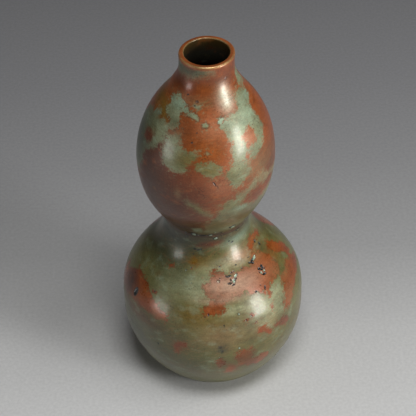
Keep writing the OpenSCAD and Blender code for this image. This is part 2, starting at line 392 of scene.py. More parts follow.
# Small marks of casting and use: turn, height, half width and half height, tilt, depth (below
# zero it stands proud), darkness of its edge, paleness of its floor.
lowerMarks = [
    # the cluster of pits in the red patch: dark hollows, some with pale green in them
    (17.3, 99.5, 1.5, 0.6, 4, 0.5, 0.9, 0), (24, 98.9, 1.9, 0.8, 36, 0.35, 0.6, 1),
    (20.9, 97, 1.1, 1.6, -24, 0.35, 0.6, 1), (18.2, 97.7, 0.5, 1, 10, 0.45, 0.8, 0),
    (16.6, 96.3, 1.3, 0.7, -6, 0.5, 0.85, 0.1), (19.5, 95.3, 1.1, 0.5, 12, 0.45, 0.9, 0),
    (22.9, 97.5, 1.1, 0.45, 30, 0.4, 0.9, 0), (20.8, 100.8, 0.6, 0.5, 0, 0.3, 0.8, 0),
    (14.8, 99.9, 0.6, 0.4, 0, 0.3, 0.7, 0), (23.4, 101, 0.8, 0.4, 20, 0.25, 0.6, 0.2),
    (7, 98.1, 1, 0.9, 0, 0.3, 0.7, 0.35), (8.6, 99.2, 0.4, 0.4, 0, 0.2, 0.6, 0),
    # the forked one with a pale floor beside it, and the round one under it
    (44.2, 101.3, 1.3, 0.55, -14, 0.5, 1, 0), (47.4, 101.6, 1.7, 0.6, 30, 0.5, 1, 0),
    (46.6, 100.5, 1.1, 0.55, -10, 0.5, 1, 0), (51.3, 101.9, 2.3, 1, 24, 0.35, 0.5, 1),
    (46, 103.9, 1, 0.4, 0, 0.2, 0.6, 0.1), (48.4, 96.7, 0.95, 0.9, 20, 0.6, 1, 0),
    (52.3, 97, 0.9, 0.8, 0, 0.6, 1, 0), (51, 95.9, 1.3, 0.7, 10, 0.55, 1, 0),
    (51.7, 94.5, 0.9, 0.8, 20, 0.35, 0.5, 1), (48, 94.6, 0.8, 0.9, -20, 0.35, 0.5, 1),
    (50, 93.3, 1.5, 0.6, -12, 0.5, 1, 0), (46.5, 95.4, 0.4, 0.8, 0, 0.4, 0.8, 0),
    (53.4, 95.4, 0.4, 0.9, 0, 0.4, 0.7, 0),
    # strokes and specks
    (43.6, 87.6, 0.5, 1.3, -28, 0.35, 1, 0), (35.2, 88.3, 0.9, 0.5, 10, 0.3, 0.9, 0),
    (41, 90, 0.4, 0.4, 0, 0.2, 0.8, 0), (28.4, 103.6, 0.5, 0.4, 0, 0.3, 0.9, 0),
    (10.6, 104.8, 0.5, 0.4, 0, 0.2, 0.8, 0), (33, 101, 0.4, 0.4, 0, 0.2, 0.8, 0),
    (66.8, 107.4, 0.9, 0.7, 20, 0.4, 0.9, 0.2), (70.4, 104.2, 0.8, 1, 0, 0.3, 0.8, 0.1),
    (17.4, 80, 0.6, 0.7, 0, -0.3, 0.5, 1), (15.6, 54.5, 0.7, 0.9, 10, -0.3, 0.6, 0.9),
    (-3.4, 81.6, 0.4, 0.9, 0, 0.3, 0.9, 0), (-5.6, 80.2, 0.4, 0.4, 0, 0.2, 0.8, 0),
    (21.6, 75.2, 0.4, 0.5, 0, 0.2, 0.8, 0), (26, 76.8, 0.5, 0.4, 0, 0.2, 0.7, 0),
    (28, 71.6, 0.4, 0.4, 0, 0.2, 0.7, 0), (6.6, 74.6, 0.4, 0.6, 0, 0.2, 0.8, 0),
    (-63.6, 77.2, 1.7, 3, -8, 0.5, 1, 0), (-20, 104, 0.5, 0.4, 0, 0.25, 0.8, 0.2),
    (-25, 102.2, 0.7, 0.5, 20, 0.25, 0.8, 0.4), (-17.6, 97, 0.5, 0.4, 0, 0.2, 0.5, 0.7),
    (3.4, 57.6, 1, 1.1, 10, 0.25, 0.5, 0), (4.6, 53.4, 0.8, 1.2, -10, 0.25, 0.45, 0),
    (-38, 50.6, 0.6, 1, 0, 0.25, 0.8, 0), (-47, 86, 0.5, 0.4, 0, 0.2, 0.8, 0),
    (3, 48.2, 0.6, 0.6, 0, 0.2, 0.7, 0.3),
    # below the waist
    (-17, 115.6, 0.8, 0.5, 0, 0.3, 0.9, 0), (-13, 115.2, 0.9, 0.4, 10, 0.3, 0.9, 0),
    (-9.4, 115.8, 0.7, 0.4, 0, 0.3, 0.9, 0), (-19, 112, 0.5, 0.4, 0, 0.2, 0.7, 0),
    (10.8, 123.6, 1.5, 0.9, 6, -0.45, 1, 0.75), (44.6, 124.3, 1.5, 0.8, 10, -0.4, 0.9, 0.45),
    (20, 124.6, 0.6, 0.5, 0, -0.3, 0.8, 0.1), (-27, 123.9, 0.7, 0.5, 0, -0.25, 0.8, 0.1),
    (33, 117.2, 0.9, 0.4, 12, 0.3, 0.9, 0.1), (28.6, 118.6, 0.6, 0.4, 0, 0.3, 0.9, 0),
    # the back
    (150, 92, 1, 0.7, 20, 0.4, 0.9, 0.5), (152.6, 93.8, 0.6, 0.5, 0, 0.35, 0.9, 0),
    (208, 60, 0.9, 0.6, -15, 0.35, 0.9, 0.3), (120, 70, 0.5, 0.9, 0, 0.3, 0.8, 0),
    (232, 96, 0.7, 0.5, 0, 0.3, 0.9, 0.2), (171, 106, 0.6, 0.4, 0, 0.3, 0.8, 0),
]
upperMarks = [
    (6, 181.8, 0.45, 1.8, 30, 0.3, 0.75, 0), (8.4, 179.4, 0.4, 1.2, 24, 0.2, 0.5, 0),
    (-15, 207.6, 0.6, 0.5, 0, 0.25, 0.8, 0), (-11, 213, 0.4, 0.4, 0, 0.2, 0.7, 0),
    (-16, 228.4, 0.9, 0.8, 0, 0.25, 0.6, 0), (-18.6, 226, 0.5, 0.4, 0, 0.2, 0.8, 0),
    (-34, 231, 0.7, 0.4, 20, 0.3, 0.8, 0), (41, 239.6, 1.2, 0.7, 10, -0.1, 0.35, 0),
    (-17.5, 127.4, 1.8, 1.4, 0, -0.55, 1, 0.6), (-11.6, 127.2, 0.7, 0.6, 0, -0.35, 0.9, 0.3),
    (4.4, 127, 1.3, 0.8, 6, -0.4, 1, 0.55), (10.2, 130.2, 0.9, 0.6, 10, -0.35, 0.6, 0.6),
    (30, 133.8, 2.1, 1.4, 34, -0.6, 1, 0.9), (26.4, 133.9, 0.5, 1.2, 20, 0.35, 0.9, 0),
    (-29, 126.8, 0.7, 0.6, 0, -0.25, 0.8, 0.2), (-5, 126.7, 2.6, 0.5, 2, 0.3, 0.9, 0),
    (17, 128.2, 1.8, 0.4, 8, 0.3, 0.8, 0), (-20.6, 127.2, 0.8, 0.6, 0, 0.3, 0.9, 0),
    (62, 127, 1, 0.4, 0, -0.3, 0.9, 0.5), (120, 126.4, 1, 0.4, 0, -0.3, 0.9, 0.7),
    (165, 126.6, 0.9, 0.4, 0, -0.3, 0.9, 0.6), (204, 126.4, 1.1, 0.4, 5, -0.3, 0.9, 0.7),
    (250, 126.4, 0.9, 0.4, 0, -0.3, 0.9, 0.5), (140, 196, 0.6, 0.5, 0, 0.25, 0.8, 0.1),
    (196, 214, 0.5, 0.7, 20, 0.3, 0.8, 0), (222, 190, 0.4, 1.5, 24, 0.25, 0.8, 0),
]
# Where a mark's parts begin and end, from 0 at its middle to 1 at its edge
markParts = {
    "dent": (0.45, 1.1), "rimRises": (0.6, 0.95), "rimFalls": (1.05, 1.45),
    "darkFloor": (0.8, 1.3), "paleFloor": (0.65, 1.0), "paleFrom": 0.3,
    "ragged": (4.1, 2.3, 0.09),      # radians per mm along and around, and how far the edge moves
    "reach": 8, "beyond": 99,        # half widths and mm past which a mark has no part
}
# The chased surface: how deep its unevenness is, how long its waves are, and how far from the
# ends of a casting it fades, in mm
unevenness = {"depth": 0.24, "period": 19.0, "clear": 5.0}
# Closer vertices reach so many half widths and mm round a mark; a point within so many mm of
# the outline and clear of its ends is on the outside; the slope is taken over so many mm
meshing = {"reach": 1.5, "margin": 0.9, "outside": 0.12, "ends": 0.01, "slope": 0.3}


def markFields(turns, alongs, radii, marks):
    # how deep, how dark and how pale the marks make each point
    part = markParts
    dent, dark, pale = (np.zeros(turns.shape) for _ in range(3))
    alongWave, aroundWave, size = part["ragged"]
    ragged = np.sin(alongs * alongWave + radii * np.radians(turns) * aroundWave) * size
    for turn, height, across, up, tilt, depth, edge, floorTone in marks:
        u = radii * np.radians(turnFrom(turns, turn))
        v = alongs - alongAt(height)
        c, d = cos(radians(tilt)), sin(radians(tilt))
        q = np.hypot((u * c + v * d) / across, (v * c - u * d) / up) + ragged
        q = np.where(np.abs(u) < part["reach"] * (across + 1), q, part["beyond"])
        dent += depth * (1 - smooth(q, *part["dent"]))
        rim = smooth(q, *part["rimRises"]) * (1 - smooth(q, *part["rimFalls"]))
        dark = np.maximum(dark, edge * rim)
        if floorTone < part["paleFrom"]:
            dark = np.maximum(dark, edge * (1 - smooth(q, *part["darkFloor"])))
        pale = np.maximum(pale, floorTone * (1 - smooth(q, *part["paleFloor"])))
    return dent, dark, pale


def worked(mesh, marks, fine):
    # Closer vertices at the marks, every outside point set back on the true outline, then
    # dents, drops and the slight unevenness of hand chasing.
    spots = []
    for turn, height, across, up, *_ in marks:
        radius = max(across, up) * meshing["reach"] + meshing["margin"]
        spots.append((placeAt(turn, height), radius * mm))
    refined(mesh, spots)
    points = meshPoints(mesh)
    turns, radii = turnsAndRadii(points)
    z = points[:, 2]
    low, high = fine[0][1], fine[-1][1]
    true, over = radiusAt(z), meshing["slope"]
    outside = ((np.abs(radii - true) < meshing["outside"])
               & (z > low + meshing["ends"]) & (z < high - meshing["ends"]))
    slope = (radiusAt(z + over) - radiusAt(z - over)) / (2 * over)
    dent, dark, pale = markFields(turns, alongAt(z), true, marks)
    soft = np.array([noise.noise(Vector(p) / unevenness["period"]) for p in points])
    calm = smooth(np.minimum(z - low, high - z), 0, unevenness["clear"])
    inward = dent + unevenness["depth"] * (0.5 + 0.5 * soft) * calm
    length = np.hypot(1, slope)
    r = np.where(outside, true - inward / length, radii)
    points[:, 2] = np.where(outside, z + inward * slope / length, z)
    points[:, 0], points[:, 1] = r * np.sin(np.radians(turns)), -r * np.cos(np.radians(turns))
    movePoints(mesh, points)
    return {"markDark": np.where(outside, dark, 0), "markPale": np.where(outside, pale, 0)}


# Colours of the finish, by name: what the bronze shows where, before gloss
# some of these also stand in for light where they are laid: painted highlight, painted sheen and
# painted shade, as noted at those washes
tint = {
    "copper": "#884521", "copperBright": "#a05a30", "rose": "#b38163", "orange": "#934f1c",
    "blushAndSheen": "#b5937a", "mint": "#9db79c", "umber": "#2f190c", "chestnut": "#552a14",
    "rust": "#70320c", "sage": "#7b7f60", "verdigris": "#7f9a86", "olive": "#636035",
    "moss": "#434729", "slate": "#373c2f", "pale": "#9d9f7c", "ochre": "#6e5420",
    "tan": "#8c6c48", "crease": "#2b2012", "paintedShade": "#20251b", "hollow": "#2a2820",
    "throat": "#4a381a", "earth": "#4f4423",
}

# Each patch has a kind, the softness of its border in mm, and a ring of (turn, height):
# degrees from the front, to the right, and mm. Later patches lie over earlier ones.
upperPatches = [
    ("green", 1.5, [(-90, 211), (-78, 212.4), (-71, 215), (-65.5, 215.4), (-61, 213.4), (-52, 213),
        (-46, 212.6), (-44, 208), (-43, 203), (-50, 199), (-56, 196), (-63.5, 190.4), (-67, 180),
        (-72, 172), (-82, 169), (-91, 173), (-98, 171), (-106, 178), (-104, 186), (-112, 193),
        (-108, 201), (-98, 204), (-95, 210)]),
    ("green", 0.75, [(-66.5, 226), (-58.5, 228), (-47, 228.8), (-37.5, 227), (-31.5, 224.6),
        (-27, 222.4), (-31, 220), (-32.5, 217), (-31.5, 213.8), (-35, 212), (-40.5, 211),
        (-46, 212.4), (-47, 215.4), (-54, 216.4), (-61, 218.6), (-63.5, 222), (-66, 223.6)]),
    ("green", 0.7, [(-28, 222.6), (-17, 222.4), (-9.5, 220.2), (-11, 218.6), (-19, 219.4),
        (-26, 220.6)]),
    ("copper", 1.6, [(-74, 203), (-66, 204), (-59, 202.5), (-58, 198), (-64, 196), (-72, 197)]),
    ("green", 1.7, [(-45, 206), (-42, 208.6), (-35, 209.6), (-29, 208.2), (-24.5, 204.8),
        (-18, 202.6), (-9, 201.8), (-8, 199.8), (-14, 196), (-17, 191.4), (-22.5, 189),
        (-27.5, 187.4), (-33, 187.6), (-38, 191), (-42, 194), (-45, 200)]),
    ("green", 1.1, [(-12, 195.4), (-3, 196.8), (4, 196.6), (9, 195), (13.5, 192), (14.5, 188),
        (9.5, 186.2), (4, 185.8), (-1.5, 188.6), (-7, 190.4)]),
    ("green", 1.4, [(44, 227), (56, 229), (68, 231), (76, 226.6), (79, 222), (72, 219.8),
        (66, 218.6), (64, 214), (67, 210), (67, 205), (64, 200), (60, 196), (54, 193), (47, 191.6),
        (41, 193), (38, 197), (36, 193), (39, 189), (41, 185), (37, 181), (32, 180), (29, 177),
        (24, 176), (19, 179), (16, 184), (17, 189), (21, 193), (21, 197), (22, 202), (23, 206),
        (21, 210), (18, 213), (16, 215.5), (21, 218.5), (30, 219.6), (38, 219.8), (44, 221.5),
        (47, 224.5)]),
    ("copper", 1.3, [(37, 205), (41, 210), (48, 210.4), (53, 206), (51, 200.6), (45, 198),
        (39, 200)]),
    ("green", 1.6, [(66, 231), (72, 234), (80, 238), (92, 240), (100, 234), (98, 227), (86, 227),
        (76, 226.4)]),
    ("green", 2.2, [(-3, 126), (-1, 141.6), (1, 148.2), (6, 153), (10, 158), (12, 163.6),
        (20.5, 167), (29.5, 170.4), (39.5, 174), (49, 177), (53, 177.6), (59, 174.4), (68, 171),
        (82, 169), (94, 171), (104, 174), (112, 170), (116, 126)]),
    ("copper", 2.6, [(30, 163), (36.5, 166.4), (47, 169.4), (60, 168.6), (72, 167), (70, 162),
        (56, 158), (44, 156), (32, 159)]),
    ("green", 3.6, [(-100, 240), (-70, 241), (-45, 241.5), (-20, 243), (-4, 244), (10, 246),
        (8, 251), (-100, 251)]),
    ("green", 0.5, [(13.2, 217.8), (15.5, 219.6), (20, 219.4), (20.5, 217), (16, 216)]),
    ("green", 0.7, [(-6, 217.5), (-1, 218.2), (3, 216.6), (-1, 215), (-5, 215.6)]),
    ("green", 1.6, [(-19, 226), (-12, 226.6), (-8, 225), (-14, 223.8)]),
    ("green", 1, [(-2, 202.4), (0, 202.8), (2, 201.6), (0, 200.8)]),
    ("green", 0.9, [(-17, 128), (-16, 137), (-10, 140.5), (-5, 141), (-4, 136), (-8, 128)]),
    ("green", 3.4, [(-16, 168), (-10, 165), (-3, 160), (4, 156), (3, 153.4), (-5, 157.6),
        (-12, 162.4), (-17, 165.6)]),
    # the back, in the same manner
    ("green", 0.5, [(112, 222), (126, 227), (140, 225), (150, 218), (147, 208), (152, 200),
        (144, 190), (132, 186), (124, 192), (118, 190), (112, 198), (118, 207), (110, 214)]),
    ("copper", 0.7, [(128, 209), (134, 212), (139, 207), (134, 201), (128, 203)]),
    ("green", 0.5, [(160, 232), (176, 235), (192, 231), (196, 224), (186, 221), (176, 224),
        (166, 222)]),
    ("green", 0.6, [(164, 196), (178, 202), (194, 201), (206, 207), (214, 201), (208, 192),
        (196, 190), (184, 184), (172, 186)]),
    ("green", 0.5, [(216, 228), (228, 232), (240, 228), (246, 220), (238, 214), (226, 217)]),
    ("green", 1.4, [(90, 126), (90, 160), (98, 168), (110, 173), (122, 168), (136, 172), (150, 160),
        (164, 162), (176, 150), (190, 156), (206, 146), (222, 150), (236, 138), (262, 142),
        (264, 126)]),
    ("copper", 1, [(140, 158), (150, 160), (156, 150), (148, 143), (138, 148)]),
    ("green", 0.8, [(224, 182), (234, 188), (246, 184), (250, 174), (240, 168), (228, 172)]),
]
lowerPatches = [
    ("copper", 0.7, [(-86, 80), (-82, 82), (-78, 84), (-74, 88), (-66, 88.4), (-60, 88.2),
        (-55, 87.2), (-52, 84.4), (-46, 81.8), (-40, 80), (-34, 78), (-31, 74), (-34, 71),
        (-42, 70.5), (-50, 71.5), (-58, 69.5), (-66, 71), (-74, 67), (-80, 68.5), (-88, 63),
        (-95, 66), (-99, 72), (-94, 76), (-93, 82)]),
    ("green", 2.4, [(-70, 70), (-60, 71.5), (-40, 71.5), (-33, 73), (-33, 66), (-60, 64),
        (-72, 66)]),
    ("copper", 0.9, [(-6, 96), (-4, 98.6), (1, 100), (4, 102.4), (11, 102.6), (14, 100.6),
        (18, 100.2), (28, 100.6), (40, 101.6), (48, 103), (56, 104), (62, 103), (64, 101),
        (67, 99.5), (67, 96), (66, 93), (70, 91), (66, 88.4), (58, 87.4), (50, 87.4), (47, 86),
        (46.6, 83), (43.6, 81.6), (41, 85), (38, 88), (30, 89), (20, 89.8), (13, 89), (9.4, 87.4),
        (9, 83), (6, 80.6), (0, 80.2), (-5, 81.6), (-7, 84), (-6, 87), (-2, 88.6), (3, 89.2),
        (-1, 90), (-5, 91.6)]),
    ("copper", 0.9, [(52, 107), (56, 110.6), (60, 112.6), (66, 113), (72, 111.6), (80, 110.2),
        (88, 108.4), (80, 106.4), (72, 107.6), (66, 108.4), (60, 106.6), (56, 104.6)]),
    ("copper", 1, [(73, 99), (77, 101), (82, 101), (87, 98.4), (91, 94), (96, 89), (94, 84),
        (87, 85), (84, 90), (80, 93.4), (76, 96)]),
    ("copper", 1.2, [(52, 68), (55, 73), (57, 79), (60, 83), (64, 85.6), (70, 86.6), (78, 87),
        (90, 84), (96, 78), (84, 77), (76, 76), (70, 73.6), (64, 71), (58, 68)]),
    ("copper", 1, [(27, 65.6), (31, 67.6), (34, 66.4), (36, 62.6), (39, 60), (39, 56.6), (36, 57),
        (33, 61), (29, 62.6)]),
    ("copper", 0.8, [(42, 61), (44, 64), (49, 64), (54, 60), (55, 55.6), (52, 54.4), (46, 57),
        (42.6, 58.4)]),
    ("copper", 0.7, [(12.6, 44.6), (13, 50), (17, 51.6), (24, 51.4), (26, 48), (25, 44), (28, 41),
        (34, 42), (38, 39), (36, 35), (29, 32), (22, 33), (16, 37.4), (13, 40.6)]),
    ("copper", 0.8, [(1, 45.6), (4, 47.8), (7, 45), (6.4, 40), (2.6, 38.8), (1, 41)]),
    ("copper", 0.6, [(-46, 101.4), (-40, 102.8), (-38, 101.4), (-44, 100.4)]),
    ("copper", 0.6, [(-50, 86), (-45, 86.6), (-44, 84.8), (-49, 84.4)]),
    ("copper", 2.4, [(-14, 118), (-8, 120.6), (4, 122.4), (16, 121.8), (22, 119.4), (14, 117.4),
        (0, 116.8)]),
    ("copper", 0.7, [(19.2, 75.6), (22, 77), (24.4, 75.6), (22.5, 74.2)]),
    ("copper", 0.6, [(24.6, 77.6), (27.4, 78.2), (27.8, 75.8), (25.2, 75.4)]),
    ("copper", 0.6, [(26.6, 72.2), (29, 72.6), (29.4, 70.6), (27, 70.2)]),
    ("copper", 0.7, [(40.5, 77), (43, 77.5), (43.5, 74.5), (41, 74)]),
    ("copper", 2.2, [(6, 31), (9, 40), (13, 38), (14, 33), (11, 29)]),
    ("copper", 1.6, [(-26, 58), (-22, 60.4), (-17, 59.6), (-17, 56.4), (-22, 54), (-23, 48),
        (-26, 49)]),
    ("copper", 1.2, [(-24, 106.6), (-18, 110), (-13, 109), (-12, 106), (-18, 105)]),
    # the back, in the same manner
    ("copper", 0.6, [(112, 104), (126, 110), (142, 108), (150, 100), (164, 98), (168, 90),
        (156, 84), (142, 87), (132, 82), (120, 88), (110, 95)]),
    ("green", 0.5, [(134, 101), (142, 102), (144, 96), (136, 94)]),
    ("copper", 0.9, [(168, 72), (178, 80), (190, 83), (204, 80), (214, 84), (226, 82), (224, 75),
        (212, 72), (205, 64), (196, 60), (191, 50), (183, 47), (180, 58), (172, 61)]),
    ("copper", 0.6, [(158, 66), (163, 69), (166, 65), (161, 62)]),
    ("copper", 0.5, [(214, 66), (218, 68), (219, 64)]),
    ("copper", 0.6, [(204, 104), (218, 108), (230, 100), (240, 98), (238, 90), (226, 88), (214, 93),
        (204, 96)]),
    ("copper", 1.2, [(230, 56), (238, 63), (248, 62), (258, 66), (267, 60), (258, 55), (250, 56),
        (243, 49), (234, 50)]),
    ("copper", 0.8, [(122, 58), (130, 64), (138, 62), (146, 64), (149, 58), (140, 54), (136, 47),
        (126, 50)]),
    ("copper", 1.3, [(144, 34), (154, 40), (166, 37), (176, 40), (186, 32), (178, 24), (164, 26),
        (154, 20), (147, 26)]),
    ("copper", 1.4, [(238, 33), (248, 38), (258, 33), (268, 36), (276, 29), (266, 22), (256, 26),
        (246, 23)]),
]
# Soft washes over the ground, on the green, on the copper or on both: tint, turn, height,
# spread around and spread along in mm, strength. Later washes lie over earlier ones.
upperWashes = [
    ("copper", [
        # the broad umber low on the left is partly the patina's dark brown and partly painted shade
        # on the side away from the lamps
        ("orange", -5, 208, 34, 20, 0.55), ("umber", -46, 160, 34, 40, 0.85),
        ("umber", -62, 192, 18, 22, 0.7), ("chestnut", -20, 160, 16, 26, 0.6),
        ("chestnut", -8, 143, 14, 9, 0.8), ("umber", -24, 134, 16, 9, 0.9),
        ("rust", -14, 237, 22, 6, 0.6), ("chestnut", -64, 236, 18, 8, 0.7),
        ("chestnut", -70, 200, 14, 8, 0.5), ("ochre", -60, 217, 8, 5, 1),
        ("ochre", -84, 219, 16, 6, 0.9), ("tan", -22, 228, 18, 3, 0.45),
        ("orange", 12, 236, 10, 5, 0.6), ("rose", 45, 204, 8, 8, 0.6),
        ("copperBright", 74, 208, 16, 22, 0.35), ("tan", 54, 184, 18, 9, 0.65),
        ("rose", 14, 180, 10, 12, 0.25), ("chestnut", 72, 180, 12, 14, 0.5),
        ("chestnut", 46, 162, 10, 5, 0.4), ("chestnut", 32, 240, 11, 6, 0.7),
        # the blush and the mint at turn 31, up the neck, are painted highlight: they pale the
        # copper where the key lamp is mirrored
        ("chestnut", 58, 168, 10, 6, 0.5), ("blushAndSheen", 31, 226, 6, 8, 1),
        ("mint", 31, 229, 4, 7, 0.6), ("tan", -24, 172, 2, 4, 0.6),
    ]),
    ("green", [
        ("verdigris", -44, 224.5, 13, 4, 0.5), ("moss", -43, 215.5, 6, 3.5, 0.5),
        # the slate on the far left is partly the dark green patina and partly painted shade on the
        # side away from the lamps
        ("verdigris", -66, 214.4, 5, 1.6, 0.9), ("slate", -82, 192, 22, 26, 0.95),
        ("moss", -60, 206, 12, 8, 0.7), ("olive", -20, 195, 12, 7, 0.9),
        ("ochre", -17, 198, 9, 4.5, 0.45), ("sage", -38, 203, 7, 8, 0.3),
        ("pale", 26, 206, 9, 12, 0.35), ("mint", 48, 215, 10, 7, 0.6),
        ("verdigris", 72, 223, 10, 3, 0.4), ("mint", 17, 218, 4, 2, 1),
        ("olive", 4, 191, 12, 6, 0.75), ("ochre", 2, 191, 10, 4, 0.4),
        ("olive", 26, 186, 11, 7, 0.55), ("olive", 28, 182, 12, 6, 0.3),
        ("sage", 56, 202, 7, 14, 0.4), ("earth", 14, 144, 60, 16, 0.9),
        ("olive", 30, 163, 24, 7, 0.45), ("verdigris", 30, 157, 5, 2.4, 0.5),
        ("tan", 62, 172, 18, 12, 0.55), ("slate", -45, 247, 26, 6, 0.8),
        ("pale", 4, 247.4, 4, 1.6, 0.6), ("earth", -8, 246, 14, 5, 0.4),
        ("verdigris", -10, 136, 6, 5, 0.25), ("pale", -40, 206, 5, 6, 0.45),
        ("sage", -52, 208, 9, 9, 0.95),
    ]),
    ("both", [("tan", -35, 211, 5, 3, 0.7)]),
    ("copper", [
        ("chestnut", 12, 169, 8, 6, 0.35), ("rose", 13, 214, 12, 7, 0.45),
        ("orange", 2, 200, 16, 8, 0.35), ("copperBright", 12, 205, 10, 10, 0.4),
    ]),
    ("green", [("pale", 32, 217, 8, 4, 0.6), ("olive", -7, 161, 14, 6, 0.9)]),
    ("both", [("copperBright", 0, 250, 400, 0.8, 0.95), ("rust", -70, 250, 40, 0.8, 0.5)]),
    ("green", [("pale", 44, 210, 8, 10, 0.3)]),
    ("both", [
        ("crease", 0, 126.4, 400, 2.6, 0.85), ("earth", 0, 130, 400, 4.5, 0.55),
        ("umber", -12, 126.6, 18, 2.2, 1), ("umber", 20, 127, 12, 1.3, 0.6),
    ]),
    # the back
    ("copper", [
        ("umber", 190, 152, 44, 24, 0.6), ("copperBright", 154, 228, 26, 9, 0.5),
        ("ochre", 220, 204, 14, 9, 0.7), ("rose", 168, 186, 18, 10, 0.35),
    ]),
    ("green", [("verdigris", 128, 216, 14, 8, 0.5), ("pale", 186, 200, 14, 6, 0.4)]),
]
lowerWashes = [
    ("green", [
        # the slate, the deep and the moss high on the left are partly the dark green patina and
        # partly painted shade under the upper bulb, away from the lamps
        ("slate", -72, 108, 30, 13, 0.9), ("paintedShade", -70, 115, 22, 9, 0.9),
        ("moss", -44, 112, 24, 10, 0.9), ("moss", -44, 96, 14, 10, 0.5),
        ("ochre", -15, 80, 12, 7, 0.7), ("ochre", -14, 108, 8, 4, 0.7),
        ("ochre", 4, 106, 12, 5, 0.4), ("tan", 6, 68, 18, 12, 0.55), ("sage", -14, 96, 16, 7, 0.9),
        ("pale", -10, 93, 11, 6, 0.65), ("sage", -34, 90, 12, 8, 0.45),
        ("verdigris", 22, 107, 10, 3, 0.4), ("pale", 17, 82.6, 12, 3.6, 0.6),
        ("pale", 51, 81, 8, 7, 0.8), ("tan", 40, 107, 14, 4, 1), ("sage", 46, 72, 16, 10, 0.5),
        ("olive", -10, 62, 22, 8, 0.3), ("moss", -22, 40, 30, 20, 0.6),
        ("slate", -60, 50, 26, 22, 0.75), ("earth", -8, 34, 30, 10, 0.5),
        ("moss", -48, 64, 14, 8, 0.4), ("olive", 34, 46, 24, 18, 0.5),
        ("orange", 72, 96, 7, 6, 0.5), ("verdigris", 37, 118.6, 10, 3, 0.55),
        ("verdigris", 62, 119, 12, 3, 0.3), ("moss", 34, 120, 16, 2.6, 0.4),
        ("slate", 5, 56, 3.8, 4, 1), ("tan", 4, 64, 14, 6, 0.3), ("pale", 34, 70, 14, 6, 0.35),
        ("tan", 34, 65, 12, 6, 0.4), ("moss", 68, 103, 6, 4, 0.7),
        ("chestnut", -56, 66, 24, 5, 0.7), ("chestnut", -22, 56, 9, 6, 0.4),
        ("earth", 62, 40, 40, 20, 0.5), ("chestnut", 10, 35, 6, 8, 0.3),
        ("olive", 64, 88, 8, 2.6, 0.5), ("copperBright", 44, 104, 14, 3, 0.35),
    ]),
    # the blush over the band, here and on the copper below, is partly the band's own pale pink and
    # partly painted sheen of the lamps
    ("both", [("blushAndSheen", 8, 88.8, 15, 2.6, 0.7)]),
    ("copper", [
        # this blush is partly the band's pink and partly painted sheen
        ("blushAndSheen", 16, 95, 20, 7, 1), ("blushAndSheen", 40, 95, 12, 6, 0.25), ("blushAndSheen", 60, 93, 8, 5, 0.35),
        ("tan", 48, 102, 12, 3, 0.6), ("tan", 60, 101, 10, 3, 0.4), ("orange", 60, 94, 12, 8, 0.6),
        ("rust", -56, 82, 12, 7, 0.8), ("umber", -74, 78, 12, 10, 0.95),
        ("orange", -54, 81, 8, 5, 0.6), ("rust", -46, 77, 6, 4, 0.6),
        ("umber", -60, 70, 30, 4, 0.6), ("rose", -39, 77, 5, 5, 0.3),
        ("copperBright", 5, 84, 8, 3, 0.6), ("orange", 80, 98, 10, 6, 0.6),
        ("tan", 67, 87, 10, 6, 0.6), ("chestnut", 20, 43, 18, 9, 0.8),
        ("ochre", 20, 42, 18, 9, 0.25), ("chestnut", 48, 60, 8, 7, 0.45),
        ("chestnut", 4, 43, 4, 5, 0.5), ("tan", 62, 74, 8, 6, 0.4), ("orange", 64, 111, 10, 4, 0.6),
        ("rust", 4, 119, 18, 3, 0.9), ("ochre", -18, 108, 8, 4, 1),
        ("chestnut", -22, 56, 8, 8, 0.6),
    ]),
    ("green", [("pale", 13, 103.5, 15, 3.5, 0.6)]),
    ("both", [
        ("crease", -8, 123.6, 38, 2.8, 0.9), ("umber", -10, 125.2, 22, 1.8, 1),
        ("crease", 180, 124.6, 80, 2, 0.8), ("earth", 30, 123.8, 30, 2, 0.8),
    ]),
    ("copper", [("umber", 4, 119, 18, 3, 0.35)]),
    # painted shade on the left shoulder under the upper bulb
    ("both", [("paintedShade", -70, 119, 36, 7, 0.75)]),
    # the back
    ("copper", [("rose", 130, 94, 16, 8, 0.5), ("orange", 190, 72, 18, 9, 0.6)]),
    ("green", [
        ("sage", 150, 72, 40, 20, 0.6), ("verdigris", 196, 104, 22, 8, 0.5),
        ("moss", 232, 82, 30, 20, 0.6), ("tan", 118, 46, 30, 14, 0.5),
        ("slate", 186, 28, 50, 14, 0.6), ("ochre", 246, 110, 18, 8, 0.6),
        ("sage", 214, 46, 26, 12, 0.5), ("ochre", 140, 116, 20, 6, 0.6),
    ]),
]
# Where the rag has dragged the green into streaks: turn, height, spread around and along, strength
upperWiped = [(30, 150, 50, 22, 0.9), (52, 180, 20, 14, 1.0), (10, 227, 60, 5, 0.75),
              (14, 208, 7, 8, 0.5), (60, 225, 16, 6, 0.6)]
lowerWiped = [(10, 110, 60, 9, 0.7), (-10, 60, 60, 26, 0.5), (60, 50, 50, 22, 0.6)]
# How the finish follows the form: lengths in mm, and shares
wear = {
    "front": 4,                                # turn at which the lip's gold is strongest: wear with a painted highlight
    # an edge's place in from the side and the rim, then how far it is rubbed bare and at all; at
    # the lip and the mouth the gold is also a painted highlight
    "lip": (0.4, 0.2, 0.9), "mouth": (0.3, 0.2, 0.6), "foot": (2.4, 0.8, 2.6),
    # the lip's outer edge is golder at the front and the mouth's inner edge at the back, the edges
    # that face the camera: painted highlight
    "lipBack": 0.1, "mouthBack": 0.5, "mouthFront": 0.1, "footShare": 0.8,      # how much
    "throat": (0.5, 10),                       # below the lip, where the inside darkens
    "matt": (118, 150),                        # above the foot, where the gloss falls
    "wholeBorder": 5.5, "leastBorder": 0.16,   # a smaller patch has a border that wanders less
    "deepest": 12,
    "insideFrom": 0.6, "belowLip": 0.1,        # the inside begins at so much of the wall
}
outOfReach = 1e9


